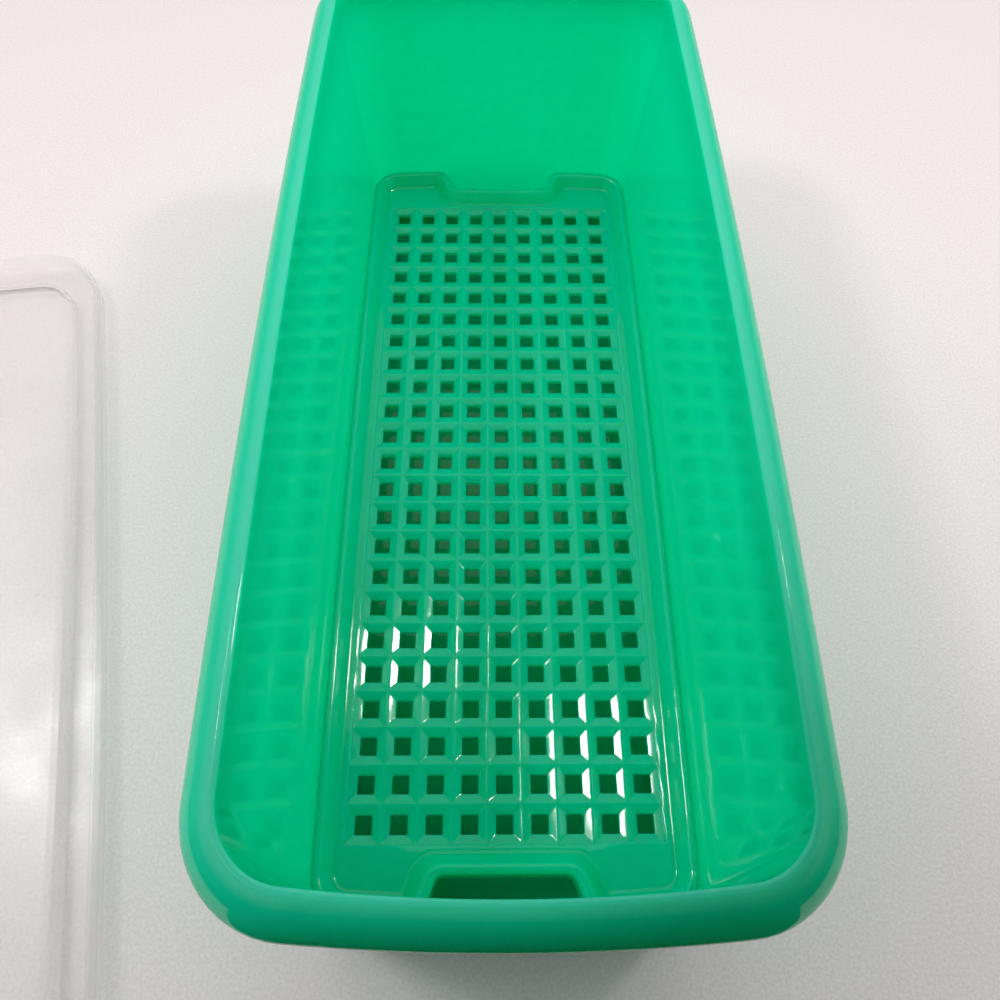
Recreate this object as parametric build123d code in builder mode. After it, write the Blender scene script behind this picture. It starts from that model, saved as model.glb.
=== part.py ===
# Vegetable crisper: a deep tapered container, a lift-out drain grid standing in it
# and its lid, which lies upside down on the same surface. Millimetres, +Z up,
# origin at the middle of the container's underside, +Y along its length.
import math
import os

from build123d import *

# Container, measured over the lip at the middle of each side and end
rim_width = 136.0
rim_length = 300.0
height = 117.0
rim_corner = 24.0
rim_flank = 8.2
lip_depth = 9.5
wall = 2.0
floor = 2.4
side_draft = 3.02
end_draft = 0.83
foot_corner = 9.5
side_bow = 2.1
end_bow = 4.0
foot_side_bow = 0.6
foot_end_bow = 1.2
foot_round = 4.0
mouth_round = 0.8

# Drain grid, its heights measured from the container's floor
grid_gap = 0.4
cells_across = 9
cells_along = 23
pitch_across = 10.2
pitch_along = 10.6
hole_width = 5.0
hole_length = 5.2
ridge = 0.3
plate_under = 10.0
plate = 1.6
funnel_depth = 1.2
border_step = 0.4
curb_height = 4.9
curb_top = 2.4
curb_run = 3.0
curb_round = 0.7
curb_hollow_round = 2.0
skirt_depth = 4.4
skirt_wall = 1.8
leg_width = 4.0
leg_length = 12.0
leg_inset = 7.0
legs_along = 3
leg_spacing = 105.0

# Finger notches in the ends of the drain grid
notch_mouth = 46.0
notch_width = 38.0
notch_depth = 10.4
notch_corner = 3.0

# Lid and where it lies
lid_gap = 0.5
lid_wall = 1.3
lid_skirt = 12.0
plug_depth = 8.0
plug_draft = 4.0
lid_round = 2.2
lid_x = -203.0
lid_y = -58.6
lid_turn = 12.87

# The mouth is the inner edge of the rim
mouth_half_width = rim_width / 2 - rim_flank
mouth_half_length = rim_length / 2 - rim_flank
mouth_corner = rim_corner - rim_flank


def bowed(half_width, half_length, swell_x, swell_y, corner):
    """A rounded rectangle whose long sides and ends swell outward by the given bows."""
    x = half_width - swell_x
    y = half_length - swell_y
    with BuildSketch() as made:
        with BuildLine():
            ThreePointArc((x, -y), (half_width, 0), (x, y))
            ThreePointArc((x, y), (0, half_length), (-x, y))
            ThreePointArc((-x, y), (-half_width, 0), (-x, -y))
            ThreePointArc((-x, -y), (0, -half_length), (x, -y))
        make_face()
        fillet(made.vertices(), corner)
    return made.sketch


def mouth_outline(out):
    """The mouth's outline, moved outward by a distance."""
    return bowed(
        mouth_half_width + out,
        mouth_half_length + out,
        side_bow,
        end_bow,
        mouth_corner + out,
    )


def wall_outline(z, out):
    """The inside of the tapered wall at a height, moved outward by a distance."""
    drop = height - z
    share = z / height
    return bowed(
        mouth_half_width - drop * math.tan(math.radians(side_draft)) + out,
        mouth_half_length - drop * math.tan(math.radians(end_draft)) + out,
        foot_side_bow + (side_bow - foot_side_bow) * share,
        foot_end_bow + (end_bow - foot_end_bow) * share,
        foot_corner + (mouth_corner - foot_corner) * share + out,
    )


def rounded_slab(base, top, out, radius):
    """A slab over the mouth's outline with its top edge rounded."""
    with BuildPart() as slab:
        with BuildSketch(Plane.XY.offset(base)):
            add(mouth_outline(out))
        extrude(amount=top - base)
        fillet(slab.edges().group_by(Axis.Z)[-1], radius)
    return slab.part


# The container: a rolled rim on a thin tapered wall
lip_bottom = height - lip_depth
roll = rim_flank - mouth_round
with BuildPart() as container:
    add(rounded_slab(lip_bottom, height, rim_flank, roll))
    add(rounded_slab(lip_bottom, height - wall, rim_flank - wall, roll - wall), mode=Mode.SUBTRACT)
    with BuildSketch(Plane.XY):
        add(wall_outline(0, wall))
    with BuildSketch(Plane.XY.offset(height)):
        add(mouth_outline(wall))
    loft(ruled=True)
    fillet(container.edges().group_by(Axis.Z)[0], foot_round)
    with BuildSketch(Plane.XY.offset(floor)):
        add(wall_outline(floor, 0))
    with BuildSketch(Plane.XY.offset(height)):
        add(mouth_outline(0))
    loft(ruled=True, mode=Mode.SUBTRACT)
    inner_floor = container.faces().filter_by(Plane.XY).sort_by(Axis.Z)[1]
    fillet(inner_floor.edges(), foot_round - wall / 2)
    brim = container.faces().filter_by(Plane.XY).sort_by(Axis.Z)[-1]
    fillet(brim.inner_wires()[0].edges(), mouth_round / 2)
container.part.label = "container"


# The drain grid, placed by the heights of its plate, hole edges and curb
grid_plate = floor + plate_under
hole_top = grid_plate + plate
crest = hole_top + funnel_depth
border = crest + border_step
curb = border + curb_height
skirt_bottom = grid_plate - skirt_depth
half_length = mouth_half_length - (height - curb) * math.tan(math.radians(end_draft)) - grid_gap


def notched(z, inset):
    """The drain grid's outline at a height, moved inward, with a finger notch in each end."""
    mouth = notch_mouth / 2 + inset
    inner = notch_width / 2 + inset
    y = half_length - notch_depth - inset
    beyond = rim_length / 2
    slant = (mouth - inner) / notch_depth
    outer = inner + slant * (beyond - y)
    with BuildSketch() as made:
        add(wall_outline(z, -grid_gap - inset))
        with BuildSketch(mode=Mode.SUBTRACT) as notches:
            with BuildLine():
                Polyline((-inner, y), (inner, y), (outer, beyond), (-outer, beyond), close=True)
            make_face()
            fillet(notches.vertices().group_by(Axis.Y)[0], notch_corner + inset)
            mirror(about=Plane.XZ)
    return made.sketch


# One cell's funnel, from its hole out to the ridges round it
with BuildPart() as cell:
    with BuildSketch(Plane.XY.offset(hole_top)):
        Rectangle(hole_width, hole_length)
    with BuildSketch(Plane.XY.offset(crest)):
        Rectangle(pitch_across - ridge, pitch_along - ridge)
    loft(ruled=True)
funnel = cell.part

leg_span = 2 * (mouth_half_width - (height - floor) * math.tan(math.radians(side_draft)) - leg_inset)
with BuildPart() as drain_grid:
    with BuildSketch(Plane.XY.offset(skirt_bottom)):
        add(notched(skirt_bottom, 0))
    with BuildSketch(Plane.XY.offset(curb)):
        add(notched(curb, 0))
    loft(ruled=True)
    # The hollow under the plate
    with BuildSketch(Plane.XY.offset(skirt_bottom)):
        add(notched(skirt_bottom, skirt_wall))
    extrude(amount=grid_plate - skirt_bottom, mode=Mode.SUBTRACT)
    # The shallow dish inside the sloping curb
    with BuildSketch(Plane.XY.offset(border)):
        add(notched(curb, curb_top + curb_run))
    with BuildSketch(Plane.XY.offset(curb)):
        add(notched(curb, curb_top))
    loft(ruled=True, mode=Mode.SUBTRACT)
    dish = drain_grid.faces().filter_by(Plane.XY).group_by(Axis.Z)[-2]
    fillet(dish.edges(), curb_hollow_round)
    fillet(drain_grid.edges().group_by(Axis.Z)[-1], curb_round)
    # The cells: ridged funnels over square holes
    with BuildSketch(Plane.XY.offset(crest)):
        Rectangle(cells_across * pitch_across, cells_along * pitch_along)
    extrude(amount=border_step, mode=Mode.SUBTRACT)
    with BuildSketch(Plane.XY.offset(hole_top)):
        with GridLocations(pitch_across, pitch_along, cells_across, cells_along):
            Rectangle(hole_width, hole_length)
    extrude(amount=-plate, mode=Mode.SUBTRACT)
    with GridLocations(pitch_across, pitch_along, cells_across, cells_along):
        add(funnel, mode=Mode.SUBTRACT)
    # Legs under the border stand it on the container's floor
    with BuildSketch(Plane.XY.offset(floor)):
        with GridLocations(leg_span, leg_spacing, 2, legs_along):
            RectangleRounded(leg_width, leg_length, leg_width * 0.4)
    extrude(amount=plate_under)
drain_grid.part.label = "drain_grid"


# The lid lies with its skirt up: channel on the surface, recessed panel raised inside it
lid_place = Plane(
    origin=(lid_x, lid_y, 0),
    x_dir=(math.cos(math.radians(lid_turn)), math.sin(math.radians(lid_turn)), 0),
    z_dir=(0, 0, 1),
)
skirt_inside = rim_flank + lid_gap
plug_slope = math.tan(math.radians(plug_draft))


def plug_outline(z, inset):
    """The plug's outline at a height, moved inward, tapering away from the channel."""
    return mouth_outline(-lid_gap - z * plug_slope - inset)


with BuildPart() as lid:
    with BuildSketch(lid_place):
        add(mouth_outline(skirt_inside + lid_wall))
    extrude(amount=lid_skirt)
    fillet(lid.edges().group_by(Axis.Z)[0], lid_round)
    with BuildSketch(lid_place.offset(lid_wall)):
        add(mouth_outline(skirt_inside))
    extrude(amount=lid_skirt - lid_wall, mode=Mode.SUBTRACT)
    with BuildSketch(lid_place):
        add(plug_outline(0, 0))
    with BuildSketch(lid_place.offset(plug_depth)):
        add(plug_outline(plug_depth, 0))
    loft(ruled=True)
    fillet(lid.faces().filter_by(Plane.XY).group_by(Axis.Z)[-2].edges(), lid_wall * 1.2)
    with BuildSketch(lid_place):
        add(plug_outline(0, lid_wall))
    with BuildSketch(lid_place.offset(plug_depth - lid_wall)):
        add(plug_outline(plug_depth - lid_wall, lid_wall))
    loft(ruled=True, mode=Mode.SUBTRACT)
lid.part.label = "lid"

os.makedirs("parts", exist_ok=True)
export_step(container.part, "parts/container.step")
export_step(drain_grid.part, "parts/drain_grid.step")
export_step(lid.part, "parts/lid.step")
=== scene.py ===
import math

import bmesh
import bpy
from mathutils import Matrix, Vector


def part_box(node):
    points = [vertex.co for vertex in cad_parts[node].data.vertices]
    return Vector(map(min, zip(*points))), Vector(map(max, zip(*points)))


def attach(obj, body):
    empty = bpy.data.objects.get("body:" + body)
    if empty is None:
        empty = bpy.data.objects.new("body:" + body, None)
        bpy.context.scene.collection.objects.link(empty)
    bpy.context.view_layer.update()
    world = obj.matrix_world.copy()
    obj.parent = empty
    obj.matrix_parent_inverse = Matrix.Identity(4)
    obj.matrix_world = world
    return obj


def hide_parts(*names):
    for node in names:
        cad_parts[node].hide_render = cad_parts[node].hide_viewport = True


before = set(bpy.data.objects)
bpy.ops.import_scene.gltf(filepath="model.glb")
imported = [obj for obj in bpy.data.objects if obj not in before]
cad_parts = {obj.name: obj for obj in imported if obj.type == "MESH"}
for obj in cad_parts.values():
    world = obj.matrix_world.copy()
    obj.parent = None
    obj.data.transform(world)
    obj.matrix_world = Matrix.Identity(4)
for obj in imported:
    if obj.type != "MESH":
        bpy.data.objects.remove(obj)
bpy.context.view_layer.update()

# Container: a deep bin injection moulded in translucent low-density polyethylene.
# Its two millimetre wall leans outward to a rolled rim, whose lip turns down over
# an open groove. Sides and ends swell slightly, and every edge is rounded.
MM = 0.001
low, high = (Vector(corner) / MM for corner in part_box("container"))
rim_half_width = (high.x - low.x) / 2
rim_half_length = (high.y - low.y) / 2
rim_height = high.z
rim_flank = 8.2
rim_corner = 24.0
lip_depth = 9.5
lip_edge_round = 0.8
brim = 1.5
brim_step = 0.15
brim_edge = 0.25
brim_round = 0.8
wall = 2.0
floor_thickness = 2.4
side_draft = math.tan(math.radians(3.02))
end_draft = math.tan(math.radians(0.83))
foot_corner = 9.5
foot_round = 4.0
side_bow = 2.1
end_bow = 4.0
foot_side_bow = 0.6
foot_end_bow = 1.2
mouth_half_width = rim_half_width - rim_flank
mouth_half_length = rim_half_length - rim_flank
mouth_corner = rim_corner - rim_flank


def arc(centre, radius, start, end, steps):
    """Points along an arc, its angles in radians."""
    x, y = centre
    turns = [start + (end - start) * k / steps for k in range(steps + 1)]
    return [Vector((x + radius * math.cos(t), y + radius * math.sin(t))) for t in turns]


def bowed_quarter(half_width, half_length, bow_x, bow_y, corner):
    """The side, corner and end arcs of a quarter of a rounded, swelling rectangle."""
    x = half_width - bow_x
    y = half_length - bow_y
    side_radius = (y * y + bow_x * bow_x) / (2 * bow_x)
    end_radius = (x * x + bow_y * bow_y) / (2 * bow_y)
    a = Vector((half_width - side_radius, 0))
    b = Vector((0, half_length - end_radius))
    ra = side_radius - corner
    rb = end_radius - corner
    gap = (b - a).length
    along = (ra * ra - rb * rb + gap * gap) / (2 * gap)
    across = math.sqrt(ra * ra - along * along)
    way = (b - a) / gap
    middle = a + way * along + Vector((-way.y, way.x)) * -across
    if middle.x < 0 or middle.y < 0:
        middle = a + way * along + Vector((-way.y, way.x)) * across
    side_turn = math.atan2(middle.y - a.y, middle.x - a.x)
    end_turn = math.atan2(middle.y - b.y, middle.x - b.x)
    side = arc(a, side_radius, 0, side_turn, 12)
    bend = arc(middle, corner, side_turn, end_turn, 14)
    end = arc(b, end_radius, end_turn, math.pi / 2, 8)
    return side, bend, end


def all_round(quarter, height):
    """A closed ring from the quarter that runs from +X to +Y, at one height."""
    right = quarter[:-1]
    left = [Vector((-p.x, p.y)) for p in reversed(quarter[1:])]
    half = right + left
    return [Vector((p.x, p.y, height)) for p in half + [-p for p in half]]


def mouth_ring(out, height):
    """A ring that follows the mouth, moved outward by a distance."""
    half_width = mouth_half_width + out
    half_length = mouth_half_length + out
    side, bend, end = bowed_quarter(half_width, half_length, side_bow, end_bow, mouth_corner + out)
    return all_round(side + bend[1:] + end[1:], height)


def wall_plan(height, out):
    """Half width, half length, bows and corner of the wall's inside at a height."""
    drop = rim_height - height
    share = height / rim_height
    return (
        mouth_half_width - drop * side_draft + out,
        mouth_half_length - drop * end_draft + out,
        foot_side_bow + (side_bow - foot_side_bow) * share,
        foot_end_bow + (end_bow - foot_end_bow) * share,
        foot_corner + (mouth_corner - foot_corner) * share + out,
    )


def wall_ring(height, out):
    """A ring that follows the inside of the tapered wall, moved outward."""
    side, bend, end = bowed_quarter(*wall_plan(height, out))
    return all_round(side + bend[1:] + end[1:], height)


def finish_mesh(name, mesh, place=Matrix.Identity(4)):
    """Makes a smooth-shaded object from a mesh in millimetres."""
    bmesh.ops.remove_doubles(mesh, verts=mesh.verts, dist=0.002)
    bmesh.ops.recalc_face_normals(mesh, faces=mesh.faces)
    bmesh.ops.transform(mesh, matrix=place @ Matrix.Scale(MM, 4), verts=mesh.verts)
    data = bpy.data.meshes.new(name)
    mesh.to_mesh(data)
    mesh.free()
    data.shade_smooth()
    made = bpy.data.objects.new(name, data)
    bpy.context.scene.collection.objects.link(made)
    level = made.modifiers.new("weighted_normals", "WEIGHTED_NORMAL")
    level.keep_sharp = True
    return made


def bridge(mesh, rings, closed_ends=True):
    """Quads between neighbouring rings, and a flat cap on the first and the last."""
    loops = [[mesh.verts.new(p) for p in ring] for ring in rings]
    count = len(loops[0])
    for lower, upper in zip(loops, loops[1:]):
        for k in range(count):
            mesh.faces.new((lower[k - 1], lower[k], upper[k], upper[k - 1]))
    if closed_ends:
        mesh.faces.new(reversed(loops[0]))
        mesh.faces.new(loops[-1])


# The flank falls away from a narrow brim in an elliptical roll, down to the lip's edge
quarter_turn = math.pi / 2
lip_bottom = rim_height - lip_depth
roll_start = math.radians(80)
roll_base = lip_bottom + lip_edge_round
roll_across = (rim_flank - brim) / (1 - math.cos(roll_start))
roll_rise = (rim_height - brim_step - roll_base) / math.sin(roll_start)
roll_middle = rim_flank - roll_across
lip_inside = rim_flank - wall
container_rings = []
for k in range(9):
    turn = quarter_turn * k / 8
    out = wall - foot_round + foot_round * math.sin(turn)
    container_rings.append(wall_ring(foot_round - foot_round * math.cos(turn), out))
groove_start = math.acos((wall - roll_middle) / (roll_across - wall))
groove_top = roll_base + (roll_rise - wall) * math.sin(groove_start)
for k in range(1, 13):
    container_rings.append(wall_ring(foot_round + (groove_top - foot_round) * k / 12, wall))
for k in range(1, 10):
    turn = groove_start * (1 - k / 9)
    out = roll_middle + (roll_across - wall) * math.cos(turn)
    container_rings.append(mouth_ring(out, roll_base + (roll_rise - wall) * math.sin(turn)))
for k in range(5):
    turn = quarter_turn * k / 4
    out = lip_inside + lip_edge_round * (1 - math.cos(turn))
    container_rings.append(mouth_ring(out, lip_bottom + lip_edge_round * (1 - math.sin(turn))))
for k in range(5):
    turn = quarter_turn * k / 4
    out = rim_flank - lip_edge_round * (1 - math.sin(turn))
    container_rings.append(mouth_ring(out, lip_bottom + lip_edge_round * (1 - math.cos(turn))))
for k in range(1, 17):
    turn = roll_start * k / 16
    out = roll_middle + roll_across * math.cos(turn)
    container_rings.append(mouth_ring(out, roll_base + roll_rise * math.sin(turn)))
container_rings.append(mouth_ring(brim - 0.4 * brim_edge, rim_height - 0.2 * brim_step))
container_rings.append(mouth_ring(brim - brim_edge, rim_height))
for k in range(7):
    turn = quarter_turn * k / 6
    out = brim_round * (1 - math.sin(turn))
    container_rings.append(mouth_ring(out, rim_height - brim_round * (1 - math.cos(turn))))
inner_round = foot_round - wall / 2
inner_foot = floor_thickness + inner_round
for k in range(1, 15):
    height = rim_height - brim_round + (inner_foot - rim_height + brim_round) * k / 14
    container_rings.append(wall_ring(height, 0))
for k in range(1, 8):
    turn = quarter_turn * k / 7
    out = -inner_round * (1 - math.cos(turn))
    container_rings.append(wall_ring(inner_foot - inner_round * math.sin(turn), out))

mesh = bmesh.new()
bridge(mesh, container_rings)
container = finish_mesh("container_moulding", mesh)


def linear(code):
    """An sRGB hex colour as linear red, green, blue and alpha."""
    parts = [int(code[k : k + 2], 16) / 255 for k in (1, 3, 5)]
    return [c / 12.92 if c <= 0.04045 else ((c + 0.055) / 1.055) ** 2.4 for c in parts] + [1.0]


def add_node(tree, kind, inputs=None, **settings):
    """Adds a shader node with its settings, and fills or links its inputs."""
    node = tree.nodes.new(kind)
    for name, value in settings.items():
        setattr(node, name, value)
    for name, value in (inputs or {}).items():
        if isinstance(value, bpy.types.NodeSocket):
            tree.links.new(value, node.inputs[name])
        else:
            node.inputs[name].default_value = value
    return node


def new_material(name):
    """An empty material and its node tree."""
    made = bpy.data.materials.new(name)
    made.use_nodes = True
    made.node_tree.nodes.clear()
    return made, made.node_tree


# Injection-moulded low-density polyethylene, translucent jade green: light spreads
# some millimetres inside it and some passes through, so edges and thin walls glow.
# The polished mould leaves a gloss with faint ripples and clouds, and a pale sheen is painted into
# the colour along the top of the brim.
cloud_size = 55
smear_size = 16
ripple_size = 8
# Painted sheen: a pale tint is mixed into the colour at the top of the brim, standing in for light
# reflected there
sheen_reach = 0.2
sheen_fade = 0.5
painted_sheen_tint = "#8fe6d2"
glow_tint = "#10fcd8"
light_passed = 0.35


def moulded_polyethylene(name, tint, deep_tint, depth, roughness, painted_sheen_above):
    """The moulded plastic, its depth of glow and the height above which a pale sheen is painted,
    in millimetres.
    """
    material, tree = new_material(name)
    place = add_node(tree, "ShaderNodeTexCoord").outputs["Object"]
    level = add_node(tree, "ShaderNodeSeparateXYZ", {"Vector": place}).outputs["Z"]
    cloud_inputs = {"Vector": place, "Scale": 1 / (cloud_size * MM), "Detail": 2.0}
    cloud = add_node(tree, "ShaderNodeTexNoise", cloud_inputs)
    colour = add_node(
        tree,
        "ShaderNodeMix",
        {0: cloud.outputs["Fac"], 6: linear(tint), 7: linear(deep_tint)},
        data_type="RGBA",
    )
    smear_inputs = {"Vector": place, "Scale": 1 / (smear_size * MM), "Detail": 5.0}
    smear = add_node(tree, "ShaderNodeTexNoise", smear_inputs)
    gloss = add_node(
        tree,
        "ShaderNodeMapRange",
        {
            "Value": smear.outputs["Fac"],
            "From Min": 0.3,
            "From Max": 0.75,
            "To Min": roughness * 0.7,
            "To Max": roughness * 1.5,
        },
    )
    # Painted sheen mask: the pale tint fades in just below the top of the brim and reaches its
    # full share at the top
    painted_sheen_mask = add_node(
        tree,
        "ShaderNodeMapRange",
        {
            "Value": level,
            "From Min": (painted_sheen_above - sheen_fade) * MM,
            "From Max": (painted_sheen_above + sheen_reach) * MM,
            "To Min": 0.0,
            "To Max": 0.35,
        },
    )
    painted_sheen_colour = add_node(
        tree,
        "ShaderNodeMix",
        {0: painted_sheen_mask.outputs["Result"], 6: colour.outputs[2], 7: linear(painted_sheen_tint)},
        data_type="RGBA",
    )
    ripple_inputs = {"Vector": place, "Scale": 1 / (ripple_size * MM), "Detail": 1.0}
    ripple = add_node(tree, "ShaderNodeTexNoise", ripple_inputs)
    bump = add_node(
        tree,
        "ShaderNodeBump",
        {"Height": ripple.outputs["Fac"], "Strength": 0.1, "Distance": 0.03 * MM},
    )
    shader = add_node(
        tree,
        "ShaderNodeBsdfPrincipled",
        {
            "Base Color": painted_sheen_colour.outputs[2],
            "Roughness": gloss.outputs["Result"],
            "Normal": bump.outputs["Normal"],
            "IOR": 1.51,
            "Subsurface Weight": 1.0,
            "Subsurface Radius": (0.25, 1.0, 0.7),
            "Subsurface Scale": depth * MM,
            "Specular IOR Level": 1.0,
        },
    )
    through = add_node(tree, "ShaderNodeBsdfTranslucent", {"Color": linear(glow_tint)})
    layers = {0: light_passed, 1: shader.outputs[0], 2: through.outputs[0]}
    body = add_node(tree, "ShaderNodeMixShader", layers)
    add_node(tree, "ShaderNodeOutputMaterial", {"Surface": body.outputs[0]})
    return material


# How far below the rim's top the painted sheen sits
brim_sheen_depth = 0.4
container.data.materials.append(
    moulded_polyethylene(
        "polyethylene_moulded_jade", "#06eec0", "#04e8b8", 10, 0.05, rim_height - brim_sheen_depth
    )
)
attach(container, "container")
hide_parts("container")

# Drain grid: a loose tray moulded in the same green polyethylene, which keeps food
# above the water in the bottom. Its floor is square holes in ridged funnels, a
# sloping curb runs round it and round a finger notch in each end, and a short
# skirt and six legs carry it on the container's floor.
grid_low, grid_high = (Vector(corner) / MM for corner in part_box("drain_grid"))
grid_gap = 0.15
end_clearance = 0.4
cells_across = 9
cells_along = 23
pitch_across = 10.2
pitch_along = 10.6
hole_half_width = 2.5
hole_half_length = 2.6
hole_round = 0.45
plate_under = 10.0
plate = 1.6
funnel_depth = 1.2
slope = math.tan(math.radians(20))
border_step = 0.4
curb_top = 2.4
curb_run = 3.0
curb_round = 1.45
curb_hollow_round = 2.0
skirt_depth = 4.4
skirt_wall = 1.8
skirt_round = 0.4
hollow_round = 0.5
notch_mouth = 23.0
notch_half_width = 19.0
notch_depth = 10.4
notch_corner = 3.0
notch_lead = 5.0
grid_foot = grid_low.z
curb = grid_high.z
grid_plate = grid_foot + plate_under
crest = grid_plate + plate + funnel_depth
hole_top = crest - (pitch_across / 2 - hole_half_width) * slope
border = crest + border_step
skirt_bottom = grid_plate - skirt_depth
tray_half_length = mouth_half_length - (rim_height - curb) * end_draft - end_clearance


def corner_arc(before, at, after, radius, steps):
    """Points that round a corner of two straight runs."""
    back = (before - at).normalized()
    on = (after - at).normalized()
    half = math.acos(max(-1.0, min(1.0, back.dot(on)))) / 2
    start = at + back * (radius / math.tan(half))
    end = at + on * (radius / math.tan(half))
    middle = at + (back + on).normalized() * (radius / math.sin(half))
    points = []
    for k in range(steps + 1):
        chord = start.lerp(end, k / steps) - middle
        points.append(middle + chord.normalized() * radius)
    return points


def tray_ring(plan_height, inset, height):
    """A ring that follows the tray's outline round its finger notches, moved inward."""
    side, bend, end = bowed_quarter(*wall_plan(plan_height, -grid_gap - inset))
    tip = end[-1].y
    tangent = bend[-1]
    sag = (tip - tangent.y) / (tangent.x * tangent.x)
    bottom = tray_half_length - notch_depth - inset
    slant = (notch_mouth - notch_half_width) / notch_depth
    foot = Vector((notch_half_width + inset, bottom))
    mouth = Vector((foot.x + slant * (tip - bottom), tip))
    for _ in range(4):
        mouth.y = tip - sag * mouth.x * mouth.x
        mouth.x = foot.x + slant * (mouth.y - bottom)
    lead = max(notch_lead - inset, 0.5)
    tangent_run = Vector((mouth.x + 10, tip - sag * (mouth.x + 10) ** 2))
    outer = corner_arc(tangent_run, mouth, foot, lead, 6)
    inner = corner_arc(mouth, foot, Vector((0, bottom)), notch_corner + inset, 8)
    run = []
    for k in range(1, 5):
        x = tangent.x + (outer[0].x - tangent.x) * k / 5
        run.append(Vector((x, tip - sag * x * x)))
    back = [Vector((foot.x / 4, bottom)), Vector((0, bottom))]
    return all_round(side + bend[1:] + run + outer + inner + back, height)


# The curb's section, from the hollow under the plate out, over and down to the dish
lean_top = Vector((curb_top, curb))
lean_foot = Vector((curb_top + curb_run, border))
outer_foot = Vector((0, skirt_bottom))
outer_top = Vector((0, curb))
hollow_foot = Vector((skirt_wall, skirt_bottom))
hollow_top = Vector((skirt_wall, curb))
dish = lean_foot + Vector((curb_run, 0))
section = []
section.append((skirt_bottom, Vector((skirt_wall + hollow_round, grid_plate))))
section.append((skirt_bottom, Vector((skirt_wall, grid_plate - hollow_round))))
for p in corner_arc(hollow_top, hollow_foot, outer_foot, skirt_round, 3):
    section.append((skirt_bottom, p))
for p in corner_arc(hollow_foot, outer_foot, outer_top, skirt_round, 3):
    section.append((skirt_bottom, p))
for k in range(1, 5):
    z = skirt_bottom + skirt_round + (curb - curb_round - skirt_bottom - skirt_round) * k / 4
    section.append((z, Vector((0, z))))
for p in corner_arc(Vector((0, border)), outer_top, lean_top, curb_round, 5)[1:]:
    section.append((curb, p))
for p in corner_arc(outer_top, lean_top, lean_foot, curb_round, 4):
    section.append((curb, p))
for p in corner_arc(lean_top, lean_foot, dish, curb_hollow_round, 7):
    section.append((curb, p))
tray_rings = [tray_ring(plan, p.x, p.y) for plan, p in section]

mesh = bmesh.new()
bridge(mesh, tray_rings, closed_ends=False)

# One cell: rings from the hole's lower edge up the funnel to the ridges round it.
# Each ring gives half width, half length, how far its corners are rounded, and height
cell_half_width = pitch_across / 2
cell_half_length = pitch_along / 2
ridge_top = crest - 0.08
cell_rings = [
    (cell_half_width, cell_half_length, 1.4, 0.0, grid_plate),
    (hole_half_width + 0.2, hole_half_length + 0.2, hole_round, 0.3, grid_plate),
    (hole_half_width, hole_half_length, hole_round, 0.3, grid_plate + 0.2),
    (hole_half_width, hole_half_length, hole_round, 0.3, hole_top - 0.12),
    (hole_half_width + 0.06, hole_half_length + 0.06, hole_round, 0.3, hole_top),
    (hole_half_width + 0.25, hole_half_length + 0.25, hole_round, 0.25, hole_top + 0.25 * slope),
    (cell_half_width - 0.5, cell_half_length - 0.5, 0.7, 0.12, crest - 0.5 * slope),
    (cell_half_width - 0.22, cell_half_length - 0.22, 1.0, 0.06, ridge_top - 0.03),
    (cell_half_width, cell_half_length, 1.4, 0.0, ridge_top),
]


def cell_ring(half_width, half_length, reach, pull, height, middle):
    """Twelve points of a rectangle: each corner is drawn in, between two points on its sides."""
    points = []
    for sx, sy in ((1, 1), (-1, 1), (-1, -1), (1, -1)):
        first = Vector((sx * half_width, sy * (half_length - reach), height))
        drawn_in = pull * reach
        peak = Vector((sx * (half_width - drawn_in), sy * (half_length - drawn_in), height))
        last = Vector((sx * (half_width - reach), sy * half_length, height))
        points += [first, peak, last] if sx == sy else [last, peak, first]
    return [p + middle for p in points]


for column in range(cells_across):
    for row in range(cells_along):
        x = (column - (cells_across - 1) / 2) * pitch_across
        y = (row - (cells_along - 1) / 2) * pitch_along
        middle = Vector((x, y, 0))
        bridge(mesh, [cell_ring(*size, middle) for size in cell_rings], closed_ends=False)
bmesh.ops.remove_doubles(mesh, verts=mesh.verts, dist=0.002)

# The flat border joins the outermost ridges to the curb, above and below
grid_half_width = cells_across * cell_half_width
grid_half_length = cells_along * cell_half_length
border_set_back = 0.15


def open_edges(height):
    """Edges of one face only that lie at a height."""
    single = [e for e in mesh.edges if len(e.link_faces) == 1]
    return [e for e in single if all(abs(v.co.z - height) < 0.01 for v in e.verts)]


raised = bmesh.ops.extrude_edge_only(mesh, edges=open_edges(ridge_top))["geom"]
moved = [v for v in raised if isinstance(v, bmesh.types.BMVert)]
for v in moved:
    if abs(v.co.x) > grid_half_width - 0.01:
        v.co.x += math.copysign(border_set_back, v.co.x)
    if abs(v.co.y) > grid_half_length - 0.01:
        v.co.y += math.copysign(border_set_back, v.co.y)
    v.co.z = border
for height in (border, grid_plate):
    bmesh.ops.triangle_fill(mesh, edges=open_edges(height), use_beauty=True)


def face_place(face):
    """A number for where a face lies, which puts the filled faces in the same order each run."""
    x, y, z = face.calc_center_median()
    return x + y * 1e3 + z * 1e6


mesh.faces.sort(key=face_place)

# Legs, each a rounded post set into the underside
leg_half_width = 2.0
leg_half_length = 6.0
leg_round = 1.6
leg_spacing = 105.0
leg_inset = 7.0
leg_sunk = 0.3
leg_x = mouth_half_width - (rim_height - grid_foot) * side_draft - leg_inset
leg_corner = (leg_half_width - leg_round, leg_half_length - leg_round)
leg_plan = [Vector((leg_half_width, 0))]
leg_plan += arc(leg_corner, leg_round, 0, quarter_turn, 5)
leg_plan += [Vector((0, leg_half_length))]
for x in (-leg_x, leg_x):
    for y in (-leg_spacing, 0, leg_spacing):
        middle = Vector((x, y, 0))
        ends = [all_round(leg_plan, z) for z in (grid_foot, grid_plate + leg_sunk)]
        bridge(mesh, [[p + middle for p in ring] for ring in ends])

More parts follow.
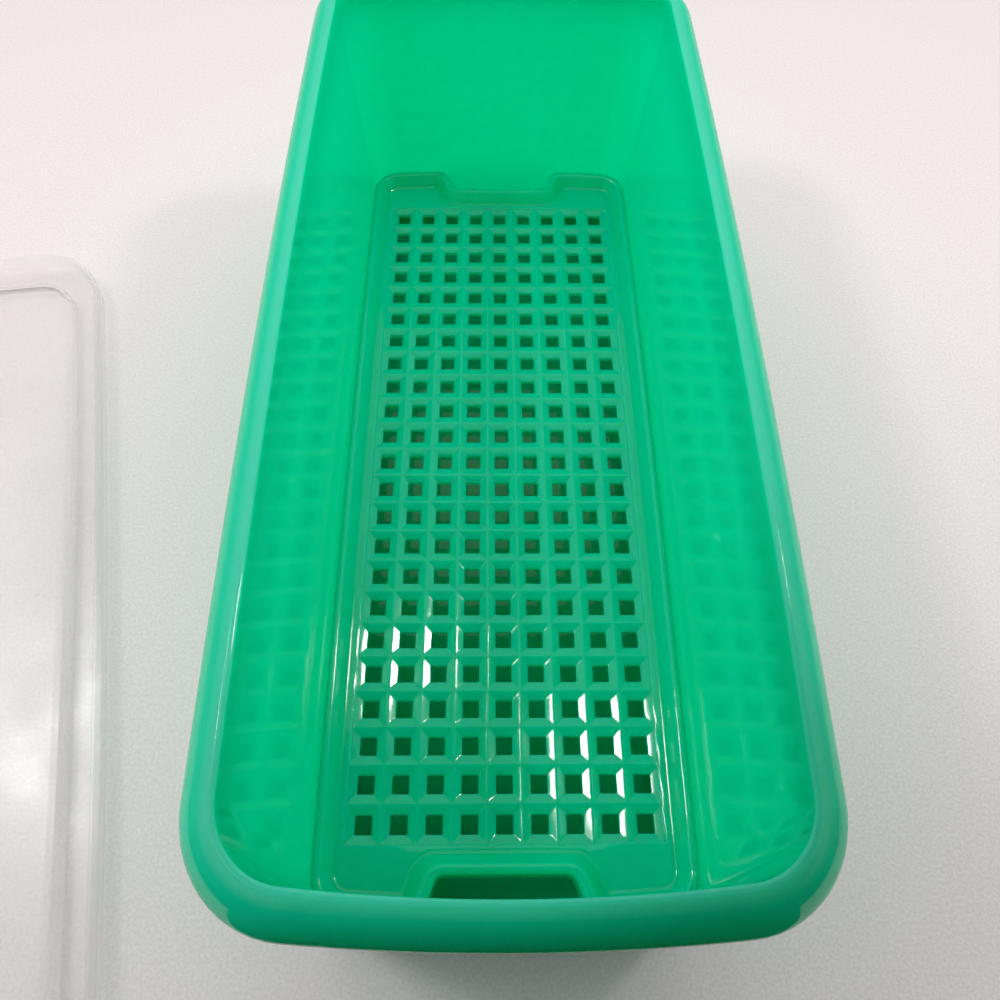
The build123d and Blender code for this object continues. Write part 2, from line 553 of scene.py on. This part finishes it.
drain_grid = finish_mesh("drain_grid_moulding", mesh)
drain_grid.data.materials.append(
    moulded_polyethylene(
        "polyethylene_moulded_leaf_green", "#04fad0", "#02f6c8", 6, 0.05, rim_height
    )
)
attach(drain_grid, "drain_grid")
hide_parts("drain_grid")

# Lid: a sheer, faintly frosted polyethylene cover, lying upside down with its skirt
# up. A channel that takes the container's rim runs round a plug, whose sunk panel
# is the raised middle as it lies.
lid_low, lid_high = (Vector(corner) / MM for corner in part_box("lid"))
lid_turn = math.radians(12.87)
lid_gap = 0.5
lid_wall = 1.3
lid_round = 2.2
fold_round = 0.5
channel_round = 1.0
skirt_edge_round = 0.35
plug_depth = 8.0
plug_slope = math.tan(math.radians(4))
plug_round = 1.5
skirt_inside = rim_flank + lid_gap
skirt_outside = skirt_inside + lid_wall
skirt_height = lid_high.z
plug_top = -lid_gap - plug_depth * plug_slope
recess_edge = -lid_gap - lid_wall
recess_depth = plug_depth - lid_wall
recess_top = recess_edge - recess_depth * plug_slope
panel_run = 3.0
panel_top = Vector((plug_top, plug_depth))
panel_start = Vector((plug_top - panel_run, plug_depth))
plug_foot = Vector((-lid_gap - lid_wall * plug_slope, lid_wall))
channel = Vector((skirt_inside, lid_wall))
skirt_in = Vector((skirt_inside, skirt_height))
skirt_out = Vector((skirt_outside, skirt_height))
bottom_edge = Vector((skirt_outside, 0))
recess_lip = Vector((recess_edge, 0))
recess_under = Vector((recess_top, recess_depth))

# Each row: the points before, at and after a corner of the section, its radius and steps
lid_corners = [
    (panel_start, panel_top, Vector((-lid_gap, 0)), plug_round, 6),
    (panel_top, plug_foot, channel, fold_round, 4),
    (Vector((0, lid_wall)), channel, skirt_in, channel_round, 5),
    (Vector((skirt_inside, 0)), skirt_in, skirt_out, skirt_edge_round, 3),
    (skirt_in, skirt_out, bottom_edge, skirt_edge_round, 3),
    (skirt_out, bottom_edge, Vector((0, 0)), lid_round, 7),
    (bottom_edge, recess_lip, recess_under, fold_round, 3),
]
lid_rings = [mouth_ring(plug_top - panel_run, plug_depth)]
for corner in lid_corners:
    lid_rings += [mouth_ring(p.x, p.y) for p in corner_arc(*corner)]
lid_rings.append(mouth_ring(recess_top, recess_depth))
lid_rings.append(mouth_ring(recess_top - panel_run, recess_depth))
mesh = bmesh.new()
bridge(mesh, lid_rings)
lid_middle = (lid_low + lid_high) / 2
lid_spot = Matrix.Translation(Vector((lid_middle.x, lid_middle.y, 0)) * MM)
lid = finish_mesh("lid_moulding", mesh, lid_spot @ Matrix.Rotation(lid_turn, 4, "Z"))

# Natural low-density polyethylene without pigment, from a lightly blasted mould:
# thin and sheer, faintly milky, with a soft frosted sheen that greys its edges.
haze_size = 20
material, tree = new_material("polyethylene_sheer_frosted")
place = add_node(tree, "ShaderNodeTexCoord").outputs["Object"]
haze_inputs = {"Vector": place, "Scale": 1 / (haze_size * MM), "Detail": 5.0}
haze = add_node(tree, "ShaderNodeTexNoise", haze_inputs)
spread = {"Value": haze.outputs["Fac"], "From Min": 0.3, "From Max": 0.7}
frost = add_node(tree, "ShaderNodeMapRange", {**spread, "To Min": 0.25, "To Max": 0.4})
milk = add_node(tree, "ShaderNodeMapRange", {**spread, "To Min": 0.06, "To Max": 0.1})
clear = add_node(tree, "ShaderNodeBsdfTransparent", {"Color": linear("#ffffff")})
through = add_node(tree, "ShaderNodeBsdfTranslucent", {"Color": linear("#faf7f3")})
back = add_node(tree, "ShaderNodeBsdfDiffuse", {"Color": linear("#faf7f3")})
body = add_node(tree, "ShaderNodeMixShader", {0: 0.5, 1: through.outputs[0], 2: back.outputs[0]})
hazed = {0: milk.outputs["Result"], 1: clear.outputs[0], 2: body.outputs[0]}
sheer = add_node(tree, "ShaderNodeMixShader", hazed)
shine = add_node(tree, "ShaderNodeBsdfGlossy", {"Roughness": frost.outputs["Result"]})
grazing = add_node(tree, "ShaderNodeLayerWeight", {"Blend": 0.5})
edge_on = {0: grazing.outputs["Facing"], 1: 4.0}
rise = add_node(tree, "ShaderNodeMath", edge_on, operation="POWER")
sheen_inputs = {"Value": rise.outputs[0], "To Min": 0.035, "To Max": 0.5}
sheen = add_node(tree, "ShaderNodeMapRange", sheen_inputs)
coated = {0: sheen.outputs[0], 1: sheer.outputs[0], 2: shine.outputs[0]}
mixed = add_node(tree, "ShaderNodeMixShader", coated)
add_node(tree, "ShaderNodeOutputMaterial", {"Surface": mixed.outputs[0]})
lid.data.materials.append(material)
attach(lid, "lid")
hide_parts("lid")

# Worktop: melamine laminate pressed on a blasted plate, which is not part of the
# object. Its pebbles are finer than a millimetre and are drawn 0.9 mm wide, so that
# they show.
grain_size = 0.9
worktop_half_size = 2.5
worktop_drop = 0.2
square = ((-1, -1), (1, -1), (1, 1), (-1, 1))
mesh = bmesh.new()
corners = [(x * worktop_half_size, y * worktop_half_size, 0) for x, y in square]
mesh.faces.new([mesh.verts.new(corner) for corner in corners])
data = bpy.data.meshes.new("worktop")
mesh.to_mesh(data)
mesh.free()
worktop = bpy.data.objects.new("worktop", data)
worktop.location.z = -worktop_drop * MM
bpy.context.scene.collection.objects.link(worktop)
material, tree = new_material("laminate_pebbled_white")
place = add_node(tree, "ShaderNodeTexCoord").outputs["Object"]
grain_inputs = {"Vector": place, "Scale": 1 / (grain_size * MM), "Detail": 2.0}
grain = add_node(tree, "ShaderNodeTexNoise", grain_inputs)
shade = add_node(
    tree,
    "ShaderNodeMix",
    {0: grain.outputs["Fac"], 6: linear("#dacfd0"), 7: linear("#fff4f5")},
    data_type="RGBA",
)
relief = {"Height": grain.outputs["Fac"], "Strength": 0.4, "Distance": 0.15 * MM}
bump = add_node(tree, "ShaderNodeBump", relief)
shader = add_node(
    tree,
    "ShaderNodeBsdfPrincipled",
    {"Base Color": shade.outputs[2], "Normal": bump.outputs["Normal"], "Roughness": 0.5},
)
add_node(tree, "ShaderNodeOutputMaterial", {"Surface": shader.outputs["BSDF"]})
worktop.data.materials.append(material)

# Light: a pale room that is dimmer towards the near end and in mirror images, a small
# lamp high on either side of the container, and two cards that shade its near end
world = bpy.data.worlds.new("room")
world.use_nodes = True
tree = world.node_tree
tree.nodes.clear()
toward = add_node(tree, "ShaderNodeTexCoord").outputs["Generated"]
sides = {0: toward, 1: (0.0, -0.9, -0.44)}
facing = add_node(tree, "ShaderNodeVectorMath", sides, operation="DOT_PRODUCT")
fade = {"Value": facing.outputs["Value"], "From Min": -0.35, "From Max": 0.45}
dim = add_node(tree, "ShaderNodeMapRange", fade, interpolation_type="SMOOTHSTEP")
room = add_node(
    tree,
    "ShaderNodeMix",
    {0: dim.outputs["Result"], 6: (1.1, 1.1, 1.1, 1.0), 7: (0.1, 0.1, 0.1, 1.0)},
    data_type="RGBA",
)
path = add_node(tree, "ShaderNodeLightPath")
mirrored = {"Value": path.outputs["Is Glossy Ray"], "To Min": 1.0, "To Max": 0.3}
seen = add_node(tree, "ShaderNodeMapRange", mirrored)
lit = {"Color": room.outputs[2], "Strength": seen.outputs["Result"]}
sky = add_node(tree, "ShaderNodeBackground", lit)
backdrop = add_node(tree, "ShaderNodeBackground", {"Color": linear("#eae4e3"), "Strength": 1.0})
shown = {0: path.outputs["Is Camera Ray"], 1: sky.outputs[0], 2: backdrop.outputs[0]}
around = add_node(tree, "ShaderNodeMixShader", shown)
add_node(tree, "ShaderNodeOutputWorld", {"Surface": around.outputs[0]})
bpy.context.scene.world = world


def soft_lamp(name, place, aim, size, power):
    """A rectangular lamp that faces a point, its sizes in metres and its power in watts."""
    light = bpy.data.lights.new(name, "AREA")
    light.shape = "RECTANGLE"
    light.size, light.size_y = size
    light.energy = power
    lamp = bpy.data.objects.new(name, light)
    lamp.location = place
    lamp.rotation_euler = (Vector(aim) - Vector(place)).to_track_quat("-Z", "Y").to_euler()
    bpy.context.scene.collection.objects.link(lamp)


soft_lamp("right_lamp", (0.43, 0.16, 0.688), (-0.035, -0.07, 0.015), (0.08, 0.1), 1.0)
soft_lamp("left_lamp", (-0.42, 0.055, 0.715), (0.033, -0.1, 0.015), (0.13, 0.1), 1.2)


def dark_card(name, place, aim, width, height):
    """A dark card that faces a point, seen by the light but not by the camera."""
    made = bmesh.new()
    made.faces.new([made.verts.new((x * width / 2, y * height / 2, 0)) for x, y in square])
    shape = bpy.data.meshes.new(name)
    made.to_mesh(shape)
    made.free()
    card = bpy.data.objects.new(name, shape)
    card.location = place
    card.rotation_euler = (Vector(aim) - Vector(place)).to_track_quat("-Z", "Y").to_euler()
    card.visible_camera = False
    bpy.context.scene.collection.objects.link(card)
    cloth, cloth_tree = new_material(name)
    matt = add_node(cloth_tree, "ShaderNodeBsdfDiffuse", {"Color": linear("#303030")})
    add_node(cloth_tree, "ShaderNodeOutputMaterial", {"Surface": matt.outputs[0]})
    card.data.materials.append(cloth)


dark_card("dark_card_above", (0.055, -0.165, 0.26), (0.055, -0.165, 0), 0.28, 0.25)
dark_card("dark_card_front", (0.0, -0.178, 0.09), (0.0, 0, 0.09), 0.17, 0.1)

# Camera: held above the near end and tipped down into the container
camera = bpy.data.objects.new("camera", bpy.data.cameras.new("camera"))
camera.location = (-0.0066, -0.1546, 0.3147)
camera.rotation_euler = [math.radians(t) for t in (34.7125, -0.9427, -0.4032)]
camera.data.sensor_width = 36.0
camera.data.lens = 33.5
camera.data.shift_y = -0.16
bpy.context.scene.collection.objects.link(camera)
bpy.context.scene.camera = camera
bpy.context.scene.view_settings.view_transform = "Standard"
